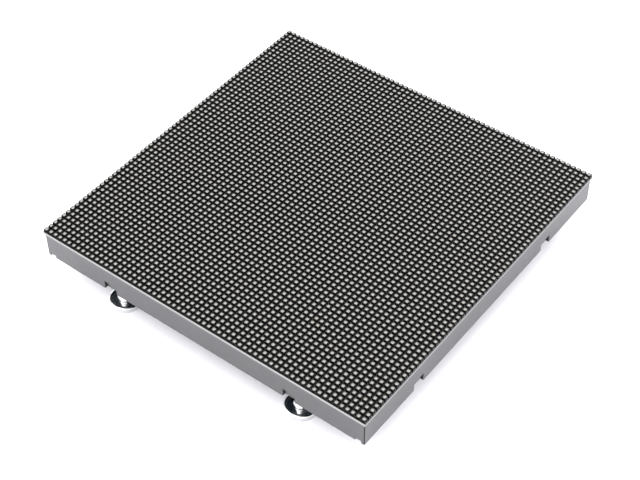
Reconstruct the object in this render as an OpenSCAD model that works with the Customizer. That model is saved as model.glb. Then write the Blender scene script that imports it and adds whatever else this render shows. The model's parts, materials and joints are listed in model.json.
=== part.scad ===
// LED dot matrix display module: a square board of surface-mount lamps on a
// moulded back shell, standing on four magnetic feet.
// Origin: on the surface the feet stand on, under the middle of the module.
// +Z up towards the lamps, +X along the front wall, +Y towards the back wall.

/* [Lamp matrix] */
// Lamps along each side of the matrix
lamp_count = 64; // [60:1:68]
// Distance between neighbouring lamps
lamp_pitch = 3; // [2.85:0.05:3.2]
// Side of one lamp package
lamp_w = 2.1; // [1.8:0.05:2.4]
// Height of one lamp package
lamp_h = 1.3; // [0.9:0.1:1.8]

/* [Circuit board] */
// Gap left between the boards of two modules in a display wall
module_gap = 0.3; // [0.2:0.05:0.6]
// Thickness of the board
board_t = 1.6; // [1.2:0.1:2]

/* [Back shell] */
// How far the board stands out past the shell on every side
board_overhang = 0.45; // [0.2:0.05:0.8]
// Depth of the shell behind the board
shell_h = 14; // [12:0.5:16]
// Bevel on the upright corners of the outer wall
corner_bevel = 0.4; // [0.2:0.1:0.8]
// Thickness of the outer wall
wall_t = 3; // [2.6:0.1:3.6]
// Thickness of the ribs
rib_t = 2; // [1.6:0.1:2.6]
// Depth of the ribs behind the board
rib_h = 9; // [8:0.5:11]
// Distance of the main ribs from the middle
rib_offset = 54; // [52:0.5:56]
// Distance of the two short ribs from the middle
short_rib_offset = 27; // [26:0.5:29]
// Draft of the lower edge of each rib
rib_edge = 0.5; // [0.3:0.1:0.7]

/* [Wall notches] */
// Width of the notches in the outer wall
notch_w = 7.5; // [6:0.5:10]
// Height of the notches in the outer wall
notch_h = 5; // [4:0.1:6.5]
// How deep the notches go into the wall
notch_depth = 1.7; // [1.2:0.1:2.2]
// Width of the small notches beside the corners
end_notch_w = 3.2; // [2.4:0.1:4]
// Height of the small notches beside the corners
end_notch_h = 1.4; // [1:0.1:2]
// Width of the toe left at each corner
corner_toe_w = 1.8; // [1.4:0.1:2.4]

/* [Magnetic feet] */
// Height of the shell above the surface that the feet stand on
foot_h = 14.5; // [12:0.5:18]
// Distance of a foot's axis from the shell's outer face
foot_inset = 8.4; // [8.2:0.1:9.4]
// Diameter of the steel cup
cup_d = 16.2; // [15.4:0.1:16.6]
// Height of the steel cup
cup_h = 3.4; // [3.1:0.1:4]
// Width of the curved shoulder round the cup's top
cup_shoulder_w = 2.2; // [1.6:0.1:2.6]
// Height of the curved shoulder round the cup's top
cup_shoulder_h = 0.9; // [0.6:0.1:1.1]
// Diameter of the magnet
magnet_d = 13; // [12:0.1:13.6]
// Thickness of the magnet
magnet_h = 2.5; // [2:0.1:2.7]
// Diameter of the post's neck
neck_d = 6.4; // [6:0.1:7]
// Diameter of the collar at the foot of the neck
collar_d = 7.4; // [7.2:0.1:8.4]
// Height of the collar at the foot of the neck
collar_h = 0.8; // [0.6:0.1:1.2]
// Height of the slope from the collar up to the neck
collar_slope_h = 0.9; // [0.6:0.1:1.4]
// Diameter of the groove under the collar
groove_d = 6.6; // [6.2:0.1:6.8]
// Height of the groove under the collar
groove_h = 0.4; // [0.3:0.1:0.6]
// Diameter of the post's riveted end in the cup
rivet_d = 5; // [4:0.1:6]
// Diameter of the post's stud
stud_d = 4; // [3.6:0.1:4.4]
// Length of the post's stud
stud_l = 7; // [5:0.5:7.5]

/* [Inserts and bosses] */
// Outer diameter of the brass insert that takes a stud
insert_d = 6; // [5.6:0.1:6.6]
// Length of the brass insert
insert_l = 8; // [7.5:0.5:9]
// Depth of the waist round the insert
insert_waist = 0.35; // [0.2:0.05:0.45]
// Diameter of the shell's boss round an insert
foot_boss_d = 11; // [10:0.1:11.6]

/* [Screws] */
// Diameter of the screws that hold the shell on
screw_d = 3; // [2.6:0.1:3.2]
// Diameter of the screw heads
screw_head_d = 5.5; // [5:0.1:5.8]
// Height of the screw heads
screw_head_h = 1.9; // [1.6:0.1:2.2]
// How far a screw reaches into its nut
screw_reach = 2.4; // [1.8:0.1:2.6]
// Diameter of the nuts soldered to the board
nut_d = 5.6; // [5.2:0.1:5.8]
// Height of the nuts soldered to the board
nut_h = 3; // [2.8:0.1:3.4]
// Floor left in each boss between nut and screw head
boss_floor = 1.8; // [1.4:0.1:2.2]
// Diameter of the shell's screw bosses
screw_boss_d = 8.4; // [8:0.1:9]

/* [Data headers] */
// Pins in each of a data header's two rows
data_pins = 8; // [6:1:9]
// Distance between neighbouring pins
pin_pitch = 2.54; // [2:0.01:2.6]
// Side of a square pin
pin_w = 0.64; // [0.5:0.02:0.7]
// Height of a data header over the board
data_header_h = 9.6; // [8.5:0.1:11]
// Width of a data header
data_header_w = 8.9; // [8.6:0.1:9.6]
// Wall of a data header
data_header_wall = 1.2; // [1:0.1:1.4]
// Floor of a data header
data_header_floor = 2.5; // [2:0.1:3]
// Room past the end pins in a data header
data_header_end = 3.8; // [3:0.1:4.5]
// Width of the keying slot
key_slot_w = 4.5; // [4:0.1:5]
// Height of the pads that lift a header off the board
header_lift = 0.6; // [0.5:0.1:0.8]
// Thickness of the pins' soldered tails
tail_t = 0.3; // [0.2:0.05:0.4]
// How far the soldered tails reach out from under a data header
tail_reach = 1.8; // [1.2:0.1:2.2]
// How far the pins stay below a header's mouth
pin_recess = 0.6; // [0.4:0.1:1]

/* [Power header] */
// Pins of the power header
power_pins = 4; // [3:1:5]
// Distance between the power header's pins
power_pitch = 3.96; // [3.8:0.02:4.2]
// Side of a power pin
power_pin_w = 1.14; // [1:0.02:1.2]
// Width of the power header
power_header_w = 8.5; // [8:0.1:9.5]
// Height of the power header's base
power_base_h = 3.4; // [3:0.1:4]
// Height of the power header's locking wall
power_wall_h = 9; // [8:0.1:10]
// Thickness of the locking wall
power_wall_t = 1.2; // [1:0.1:1.5]
// Length of the power pins over the board
power_pin_l = 10.6; // [10:0.1:11.4]
// Width of the slots in the locking wall
power_slot_w = 1.6; // [1.2:0.1:2]

/* [Chips] */
// Length of a lamp driver chip
driver_l = 8.65; // [8:0.05:10]
// Width of a lamp driver chip
driver_w = 3.9; // [3.7:0.05:4.4]
// Height of a lamp driver chip
driver_h = 1.5; // [1.3:0.05:1.75]
// Distance between rows of driver chips
driver_row_pitch = 11; // [10:0.5:11.5]
// Length of a row switch chip
switch_l = 9.9; // [9:0.05:10.5]
// Width of a row switch chip
switch_w = 3.9; // [3.7:0.05:4.4]
// Length of a signal buffer chip
buffer_l = 12.8; // [12:0.05:13.2]
// Width of a signal buffer chip
buffer_w = 7.5; // [7:0.05:8]
// Height of a signal buffer chip
buffer_h = 2.3; // [2:0.05:2.6]
// Distance of the buffer chips from the data header's middle
buffer_offset = 28; // [26:0.5:32]
// Slope of a chip's moulded sides
chip_draft = 0.25; // [0.15:0.05:0.35]

/* [Small parts] */
// Length of a chip capacitor
cap_l = 2; // [1.6:0.1:2.4]
// Width of a chip capacitor
cap_w = 1.25; // [0.8:0.05:1.4]
// Height of a chip capacitor
cap_h = 0.9; // [0.6:0.05:1.1]
// Length of a chip resistor
res_l = 1.6; // [1.2:0.1:2]
// Width of a chip resistor
res_w = 0.8; // [0.6:0.05:1]
// Height of a chip resistor
res_h = 0.45; // [0.35:0.05:0.6]
// Clear distance between a driver chip and the parts at its ends
part_gap = 2.2; // [1.8:0.1:2.6]
// Length of a resistor pack
pack_l = 3.2; // [2.8:0.1:3.6]
// Width of a resistor pack
pack_w = 1.6; // [1.2:0.1:1.8]
// Height of a resistor pack
pack_h = 0.6; // [0.5:0.05:0.8]
// Resistor packs beside the data input
pack_count = 4; // [3:1:6]
// Distance between neighbouring resistor packs
pack_pitch = 5; // [4:0.5:5]
// Diameter of a can capacitor
can_d = 6.3; // [5.5:0.1:6.6]
// Height of a can capacitor
can_h = 5.8; // [5:0.1:7]
// Side of a can capacitor's base
can_base_w = 6.6; // [6.6:0.1:6.9]
// Height of a can capacitor's base
can_base_h = 0.8; // [0.6:0.1:1]
// Distance between neighbouring can capacitors
can_pitch = 8; // [7.2:0.1:8.2]

/* [Fits] */
// Gap all round a turned part in its seat
fit_gap = 0.03; // [0.02:0.01:0.05]
// Gap all round a screw's shank in the shell
shank_gap = 0.06; // [0.05:0.01:0.1]
// Gap all round a screw's head in its recess
head_gap = 0.12; // [0.1:0.01:0.2]

/* [Hidden] */
$fn = 64;
board_w = lamp_count * lamp_pitch - module_gap;
shell_w = board_w - 2 * board_overhang;
shell_z = foot_h;
board_z = shell_z + shell_h;
lamp_z = board_z + board_t;
row_l = (lamp_count - 1) * lamp_pitch + lamp_w;
rib_z = board_z - rib_h;
wall_mid = (shell_w - wall_t) / 2;
wall_inner = shell_w / 2 - wall_t;
side_cell = (rib_offset + wall_inner) / 2;
switch_cell = (short_rib_offset + rib_offset) / 2;
foot_y = shell_w / 2 - foot_inset;
corner_boss = wall_inner - screw_boss_d / 2 + fit_gap;
web_z = board_z - nut_h - fit_gap - boss_floor;
cut = 0.01;
over = 1;
header_l = (data_pins - 1) * pin_pitch + 2 * data_header_end + 2 * data_header_wall;
header_x = side_cell;
power_header_l = power_pins * power_pitch;
header_pad_l = 2;
power_pad_l = 1;
pad_root = 1;
sides = [-1, 1];
FEET = [["front_left", -1, -1], ["front_right", 1, -1], ["rear_right", 1, 1], ["rear_left", -1, 1]];

// Places on the shell and the board

module at_foot(foot) {
    translate([foot[1] * rib_offset, foot[2] * foot_y, 0]) children();
}

module at_screws() {
    for (a = sides, b = sides) {
        translate([a * rib_offset, b * rib_offset, 0]) children();
        translate([a * corner_boss, b * corner_boss, 0]) children();
    }
    for (a = sides) {
        translate([a * rib_offset, 0, 0]) children();
        translate([0, a * rib_offset, 0]) children();
    }
}

// Driver chips: three rows, one for each colour, in each half of the board
module at_drivers() {
    for (x = [-side_cell, -rib_offset / 2, rib_offset / 2, side_cell], half = sides, row = [-1:1])
        translate([x, half * (side_cell + row * driver_row_pitch), board_z]) children();
}

module at_switches() {
    for (a = sides, row = [-1.5:1.5])
        translate([a * switch_cell, row * rib_offset / 2, board_z]) children();
}

module at_buffers() {
    for (b = sides) translate([-header_x, b * buffer_offset, board_z]) children();
}

// Lamps and board

module lamp_rows() {
    color([0.16, 0.16, 0.16])
    for (row = [0:lamp_count - 1])
        translate([-row_l / 2, (row - (lamp_count - 1) / 2) * lamp_pitch - lamp_w / 2, lamp_z])
            cube([row_l, lamp_w, lamp_h]);
}

module circuit_board() {
    color([0.86, 0.84, 0.78])
    translate([-board_w / 2, -board_w / 2, board_z]) cube([board_w, board_w, board_t]);
}

// Back shell

module outer_wall() {
    difference() {
        translate([0, 0, shell_z]) linear_extrude(shell_h) polygon([
            for (turn = [0:90:270], end = sides)
                let (along = end * (shell_w / 2 - corner_bevel), out = shell_w / 2)
                    [out * cos(turn) - along * sin(turn), out * sin(turn) + along * cos(turn)]
        ]);
        translate([-wall_inner, -wall_inner, shell_z - cut])
            cube([2 * wall_inner, 2 * wall_inner, shell_h + 2 * cut]);
    }
}

// One rib along X, centred, with a bevelled lower edge
module rib(length) {
    translate([-length / 2, 0, 0]) rotate([90, 0, 90]) linear_extrude(length)
        polygon([
            [-rib_t / 2, board_z], [-rib_t / 2, rib_z + rib_edge],
            [-rib_t / 2 + rib_edge, rib_z], [rib_t / 2 - rib_edge, rib_z],
            [rib_t / 2, rib_z + rib_edge], [rib_t / 2, board_z]
        ]);
}

module ribs() {
    for (a = sides) {
        translate([0, a * rib_offset, 0]) rib(2 * wall_mid);
        translate([a * rib_offset, 0, 0]) rotate([0, 0, 90]) rib(2 * wall_mid);
        translate([a * short_rib_offset, 0, 0]) rotate([0, 0, 90]) rib(2 * rib_offset);
    }
}

module bosses() {
    at_screws() translate([0, 0, rib_z]) cylinder(d = screw_boss_d, h = rib_h);
    for (foot = FEET) at_foot(foot) translate([0, 0, shell_z]) cylinder(d = foot_boss_d, h = shell_h);
}

// Seat of a board nut, the screw's hole and the screw head's recess
module screw_hole() {
    translate([0, 0, board_z - nut_h - fit_gap]) cylinder(d = nut_d + 2 * fit_gap, h = nut_h + over);
    translate([0, 0, web_z - cut]) cylinder(d = screw_d + 2 * shank_gap, h = boss_floor + 2 * cut);
    translate([0, 0, shell_z]) cylinder(d = screw_head_d + 2 * head_gap, h = web_z - shell_z);
}

module wall_notches() {
    for (turn = [0:90:270], a = sides)
        rotate([0, 0, turn])
            translate([a * rib_offset - notch_w / 2, -shell_w / 2 - over, shell_z - over])
                cube([notch_w, notch_depth + over, notch_h + over]);
}

// Small notches beside the corners, in the front and back walls only
module end_notches() {
    for (turn = [0, 180], flip = [0, 1])
        rotate([0, 0, turn]) mirror([flip, 0, 0])
            translate([shell_w / 2 - corner_toe_w - end_notch_w, -shell_w / 2 - over, shell_z - over])
                cube([end_notch_w, wall_t + over, end_notch_h + over]);
}

module back_shell() {
    color([0.55, 0.55, 0.56])
    difference() {
        union() {
            outer_wall();
            ribs();
            bosses();
        }
        at_screws() screw_hole();
        for (foot = FEET) at_foot(foot) translate([0, 0, shell_z - cut])
            cylinder(d = insert_d + 2 * fit_gap, h = insert_l + 2 * fit_gap + cut);
        wall_notches();
        end_notches();
    }
}

// Screws

module board_nuts() {
    color([0.80, 0.80, 0.78])
    at_screws() translate([0, 0, board_z - nut_h]) difference() {
        cylinder(d = nut_d, h = nut_h);
        translate([0, 0, -cut]) cylinder(d = screw_d + 2 * fit_gap, h = nut_h + 2 * cut);
    }
}

// Pan-head screw pointing up, its head seated on the boss floor
module shell_screws() {
    r = screw_head_d / 2;
    tip = 0.3;
    edge = 0.4;
    end_z = boss_floor + screw_reach;
    crown = screw_head_h - edge;
    color([0.70, 0.71, 0.73])
    at_screws() translate([0, 0, web_z]) rotate_extrude()
        polygon(concat(
            [[0, end_z], [screw_d / 2 - tip, end_z], [screw_d / 2, end_z - tip], [screw_d / 2, 0], [r, 0]],
            [for (a = [0:18:90]) [r - tip - screw_head_h * (1 - cos(a)), -edge - crown * sin(a)]],
            [[0, -screw_head_h]]));
}

// Magnetic feet

module magnet_cup(foot) {
    r = cup_d / 2;
    edge = 0.2;
    color([0.78, 0.79, 0.80])
    at_foot(foot) difference() {
        rotate_extrude($fn = 96) polygon(concat(
            [[0, 0], [r - edge, 0], [r, edge]],
            [for (a = [0:10:90]) [
                r - cup_shoulder_w * (1 - cos(a)),
                cup_h - cup_shoulder_h * (1 - sin(a))
            ]],
            [[0, cup_h]]));
        translate([0, 0, -cut]) cylinder(d = magnet_d + 2 * fit_gap, h = magnet_h + cut);
        cylinder(d = rivet_d + 2 * fit_gap, h = cup_h + over);
    }
}

module magnet(foot) {
    color([0.60, 0.61, 0.63])
    at_foot(foot) cylinder(d = magnet_d, h = magnet_h);
}

// Turned post: riveted end, groove, collar, neck and threaded stud
module foot_post(foot) {
    tip = 0.5;
    stud_r = stud_d / 2 - fit_gap;
    collar_z = cup_h + groove_h;
    slope_z = collar_z + collar_h;
    color([0.82, 0.83, 0.84])
    at_foot(foot) rotate_extrude() polygon([
        [0, magnet_h], [rivet_d / 2, magnet_h], [rivet_d / 2, cup_h],
        [groove_d / 2, cup_h], [groove_d / 2, collar_z], [collar_d / 2, collar_z],
        [collar_d / 2, slope_z], [neck_d / 2, slope_z + collar_slope_h], [neck_d / 2, foot_h],
        [stud_r, foot_h], [stud_r, foot_h + stud_l - tip],
        [stud_r - tip, foot_h + stud_l], [0, foot_h + stud_l]
    ]);
}

module threaded_insert(foot) {
    r = insert_d / 2;
    waist_r = r - insert_waist;
    color([0.80, 0.65, 0.32])
    at_foot(foot) translate([0, 0, foot_h]) rotate_extrude() polygon([
        [stud_d / 2, 0], [r, 0], [r, insert_l * 0.35], [waist_r, insert_l * 0.4],
        [waist_r, insert_l * 0.6], [r, insert_l * 0.65], [r, insert_l], [stud_d / 2, insert_l]
    ]);
}

// Data headers: a shrouded socket of two rows, pointing down from the board

module at_data_header(side) {
    translate([side * header_x, 0, board_z]) rotate([180, 0, 90 * side]) children();
}

// Both rows of pin places of a data header
module at_data_pins() {
    for (i = [0:data_pins - 1], row = sides)
        translate([(i - (data_pins - 1) / 2) * pin_pitch, row * pin_pitch / 2, 0])
            rotate([0, 0, row > 0 ? 0 : 180]) children();
}

module data_header_housing(side) {
    cavity_l = header_l - 2 * data_header_wall;
    cavity_w = data_header_w - 2 * data_header_wall;
    floor_z = header_lift + data_header_floor;
    color([0.12, 0.12, 0.13])
    at_data_header(side) difference() {
        union() {
            translate([-header_l / 2, -data_header_w / 2, header_lift])
                cube([header_l, data_header_w, data_header_h - header_lift]);
            for (a = sides)
                translate([a * (header_l - header_pad_l) / 2, 0, (header_lift + pad_root) / 2])
                    cube([header_pad_l, data_header_w, header_lift + pad_root], center = true);
        }
        translate([-cavity_l / 2, -cavity_w / 2, floor_z]) cube([cavity_l, cavity_w, data_header_h]);
        translate([-key_slot_w / 2, -data_header_w / 2 - over, floor_z])
            cube([key_slot_w, data_header_wall + 2 * over, data_header_h]);
        at_data_pins()
            cube([pin_w + 2 * fit_gap, pin_w + 2 * fit_gap, 2 * (floor_z + over)], center = true);
    }
}

module data_header_pins(side) {
    tail_l = (data_header_w - pin_pitch) / 2 + tail_reach;
    color([0.83, 0.70, 0.38])
    at_data_header(side) at_data_pins() union() {
        translate([-pin_w / 2, -pin_w / 2, 0]) cube([pin_w, pin_w, data_header_h - pin_recess]);
        translate([-pin_w / 2, -pin_w / 2, 0]) cube([pin_w, tail_l + pin_w / 2, tail_t]);
    }
}

// Power header: four stout pins in an open base with a locking wall

module at_power_header() {
    translate([0, 0, board_z]) rotate([180, 0, 0]) children();
}

module at_power_pins() {
    for (i = [0:power_pins - 1])
        translate([(i - (power_pins - 1) / 2) * power_pitch, 0, 0])
            rotate([0, 0, i % 2 == 0 ? 0 : 180]) children();
}

module power_header_housing() {
    color([0.90, 0.89, 0.84])
    at_power_header() difference() {
        union() {
            translate([-power_header_l / 2, -power_header_w / 2, header_lift])
                cube([power_header_l, power_header_w, power_base_h - header_lift]);
            translate([-power_header_l / 2, -power_header_w / 2, header_lift])
                cube([power_header_l, power_wall_t, power_wall_h - header_lift]);
            for (a = sides)
                translate([a * (power_header_l - power_pad_l) / 2, 0, (header_lift + pad_root) / 2])
                    cube([power_pad_l, power_header_w, header_lift + pad_root], center = true);
        }
        at_power_pins()
            cube([power_pin_w + 2 * fit_gap, power_pin_w + 2 * fit_gap, 2 * (power_base_h + over)],
                 center = true);
        for (i = [1:power_pins - 1])
            translate([(i - power_pins / 2) * power_pitch - power_slot_w / 2,
                       -power_header_w / 2 - over, power_base_h])
                cube([power_slot_w, power_wall_t + 2 * over, power_wall_h]);
    }
}

module power_header_pins() {
    tail_l = power_header_w / 2 + tail_reach;
    color([0.80, 0.80, 0.80])
    at_power_header() at_power_pins() union() {
        translate([-power_pin_w / 2, -power_pin_w / 2, 0])
            cube([power_pin_w, power_pin_w, power_pin_l]);
        translate([-power_pin_w / 2, -power_pin_w / 2, 0])
            cube([power_pin_w, tail_l + power_pin_w / 2, tail_t]);
    }
}

// Chips and small parts, hanging from the board's lower face

// Moulded chip body with drafted long sides, its top face on the board
module chip_body(l, w, h) {
    translate([-l / 2, 0, 0]) rotate([90, 0, 90]) linear_extrude(l) polygon([
        [-w / 2 + chip_draft, 0], [w / 2 - chip_draft, 0], [w / 2, -h / 2],
        [w / 2 - chip_draft, -h], [-w / 2 + chip_draft, -h], [-w / 2, -h / 2]
    ]);
}

module flat_part(l, w, h) {
    translate([-l / 2, -w / 2, -h]) cube([l, w, h]);
}

module driver_chips() {
    color([0.13, 0.13, 0.14]) at_drivers() chip_body(driver_l, driver_w, driver_h);
}

module row_switch_chips() {
    color([0.13, 0.13, 0.14]) at_switches() chip_body(switch_l, switch_w, driver_h);
}

module buffer_chips() {
    color([0.13, 0.13, 0.14]) at_buffers() chip_body(buffer_l, buffer_w, buffer_h);
}

module chip_capacitors() {
    color([0.72, 0.62, 0.48])
    at_drivers() translate([driver_l / 2 + part_gap + cap_l / 2, 0, 0]) flat_part(cap_l, cap_w, cap_h);
}

module chip_resistors() {
    color([0.10, 0.10, 0.11])
    at_drivers() translate([-driver_l / 2 - part_gap - res_l / 2, 0, 0]) flat_part(res_l, res_w, res_h);
}

module resistor_packs() {
    pack_x = data_header_w / 2 + tail_reach + part_gap + pack_l / 2;
    color([0.10, 0.10, 0.11])
    for (i = [0:pack_count - 1])
        translate([-header_x + pack_x, (i - (pack_count - 1) / 2) * pack_pitch, board_z])
            flat_part(pack_l, pack_w, pack_h);
}

module can_capacitors() {
    first = power_header_l / 2 + part_gap / 2 + can_base_w / 2;
    color([0.75, 0.76, 0.78])
    for (a = sides, i = [0, 1])
        translate([a * (first + i * can_pitch), 0, board_z]) union() {
            flat_part(can_base_w, can_base_w, can_base_h);
            translate([0, 0, -can_h]) cylinder(d = can_d, h = can_h);
        }
}

lamp_rows();
circuit_board();
back_shell();
board_nuts();
shell_screws();
for (f = FEET) {
    magnet_cup(f);
    magnet(f);
    foot_post(f);
    threaded_insert(f);
}
data_header_housing(-1);  // data_in_housing
data_header_pins(-1);  // data_in_pins
data_header_housing(1);  // data_out_housing
data_header_pins(1);  // data_out_pins
power_header_housing();
power_header_pins();
driver_chips();
row_switch_chips();
buffer_chips();
chip_capacitors();
chip_resistors();
resistor_packs();
can_capacitors();
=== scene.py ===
"""Looks of the LED dot matrix display module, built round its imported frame.

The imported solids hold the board, the shell, the feet and everything behind the board. This script
gives them their finishes, turns each row bar into its separate lamps, adds the leads, vias, screw
recesses and printed outlines of the back, and sets up the floor, the light and the camera.
"""

from __future__ import annotations

import json
import logging
import math
import random
from dataclasses import dataclass, field
from enum import Enum
from typing import Any, Callable, Iterable, Mapping, Sequence

import bmesh
import bpy
from mathutils import Matrix, Vector

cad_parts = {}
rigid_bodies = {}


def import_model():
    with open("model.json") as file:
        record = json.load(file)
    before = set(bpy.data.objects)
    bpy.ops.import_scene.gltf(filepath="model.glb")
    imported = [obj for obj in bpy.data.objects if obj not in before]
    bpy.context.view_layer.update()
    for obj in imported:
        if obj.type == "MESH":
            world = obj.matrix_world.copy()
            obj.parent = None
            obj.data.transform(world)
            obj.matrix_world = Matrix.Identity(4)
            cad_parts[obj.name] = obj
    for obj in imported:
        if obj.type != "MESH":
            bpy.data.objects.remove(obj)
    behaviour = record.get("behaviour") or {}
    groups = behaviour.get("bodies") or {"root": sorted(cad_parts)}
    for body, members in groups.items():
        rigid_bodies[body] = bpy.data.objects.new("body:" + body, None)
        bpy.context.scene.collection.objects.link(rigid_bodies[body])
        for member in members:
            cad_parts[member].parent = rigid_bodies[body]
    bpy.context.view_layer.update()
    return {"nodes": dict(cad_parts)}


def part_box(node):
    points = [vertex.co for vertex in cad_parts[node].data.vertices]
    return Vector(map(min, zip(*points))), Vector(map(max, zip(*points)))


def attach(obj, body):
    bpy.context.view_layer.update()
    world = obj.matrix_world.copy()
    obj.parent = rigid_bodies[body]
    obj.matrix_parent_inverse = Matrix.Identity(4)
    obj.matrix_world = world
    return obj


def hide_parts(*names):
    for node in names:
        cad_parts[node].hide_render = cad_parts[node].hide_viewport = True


LOG = logging.getLogger("display_module")

MM = 0.001
BODY = "root"
LAMPS_A_SIDE = 64
LAMP_TURN = math.radians(0.7)
WINDOW_DEPTH = "window_depth"
TURN = "turn"

FLOW_SIZE = 14.0
FLOW_RANGE = (0.35, 0.65)
HANDLED_SIZE = 3.0
HANDLED_SPREAD = 0.1

Colour = tuple[float, float, float]
Point = tuple[float, float, float]


class Side(Enum):
    """The two sides of a lamp, whose terminals mirror each other."""

    LEFT = -1
    RIGHT = 1


class Half(Enum):
    """The two halves of the lamp matrix, each made as its own pieces."""

    FRONT = 0
    REAR = 1


class Foot(Enum):
    """The four magnetic feet."""

    FRONT_LEFT = "front_left"
    FRONT_RIGHT = "front_right"
    REAR_RIGHT = "rear_right"
    REAR_LEFT = "rear_left"


# ---- Node trees ----


def operator(operation: str, swapped: bool = False) -> Callable[[Expr, Any], Expr]:
    """Makes a method that adds one Math node to an expression's tree.

    Args:
        operation: the Math node's operation.
        swapped: whether the other value goes in first.

    Returns:
        The method.
    """

    def apply(self: Expr, other: Any) -> Expr:
        """Adds the node."""
        return self.math(operation, other, self) if swapped else self.math(operation, self, other)

    return apply


class Expr:
    """A number socket in a node tree, on which Python's operators add Math nodes."""

    def __init__(self, nodes: NodeBuilder, socket: bpy.types.NodeSocket) -> None:
        """Wraps an output socket that carries a number, in the tree of its builder."""
        self.nodes = nodes
        self.socket = socket

    def math(self, operation: str, first: Any, second: Any = 0.0) -> Expr:
        """Adds one Math node on numbers or expressions and returns its result."""
        node = self.nodes.add("ShaderNodeMath", {"operation": operation}, {0: first, 1: second})
        return Expr(self.nodes, node.outputs[0])

    __add__ = operator("ADD")
    __radd__ = operator("ADD", swapped=True)
    __sub__ = operator("SUBTRACT")
    __rsub__ = operator("SUBTRACT", swapped=True)
    __mul__ = operator("MULTIPLY")
    __rmul__ = operator("MULTIPLY", swapped=True)
    __truediv__ = operator("DIVIDE")
    __gt__ = operator("GREATER_THAN")
    __lt__ = operator("LESS_THAN")

    def absolute(self) -> Expr:
        """Returns self without its sign."""
        return self.math("ABSOLUTE", self)

    def fraction(self) -> Expr:
        """Returns the part of self past the whole number below it."""
        return self.math("FRACT", self)

    def larger(self, other: Any) -> Expr:
        """Returns the larger of self and other."""
        return self.math("MAXIMUM", self, other)

    def clamped(self) -> Expr:
        """Returns self held between 0 and 1."""
        return self.math("MINIMUM", self, 1.0).larger(0.0)


class NodeBuilder:
    """Adds nodes to a tree: a node's settings first, then its sockets."""

    def __init__(self, tree: bpy.types.NodeTree) -> None:
        """Starts building in a node tree."""
        self.tree = tree

    def feed(self, socket: bpy.types.NodeSocket, value: Any) -> None:
        """Links a socket or sets its value.

        Args:
            socket: the input socket.
            value: an expression, an output socket, or a plain value.
        """
        if isinstance(value, Expr):
            value = value.socket
        if isinstance(value, bpy.types.NodeSocket):
            self.tree.links.new(value, socket)
        else:
            socket.default_value = value

    def add(
        self,
        kind: str,
        settings: Mapping[str, Any] | None = None,
        sockets: Mapping[Any, Any] | None = None,
    ) -> bpy.types.Node:
        """Adds one node.

        Args:
            kind: the node's type.
            settings: the node's own properties, set first.
            sockets: what goes into its inputs, by name or number.

        Returns:
            The new node.
        """
        node = self.tree.nodes.new(kind)
        for key, value in (settings or {}).items():
            setattr(node, key, value)
        for key, value in (sockets or {}).items():
            self.feed(node.inputs[key], value)
        return node

    def scaled(self, vector: bpy.types.NodeSocket, factor: float) -> bpy.types.NodeSocket:
        """Returns a vector times a number."""
        node = self.add("ShaderNodeVectorMath", {"operation": "SCALE"}, {0: vector, "Scale": factor})
        return node.outputs[0]


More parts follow.
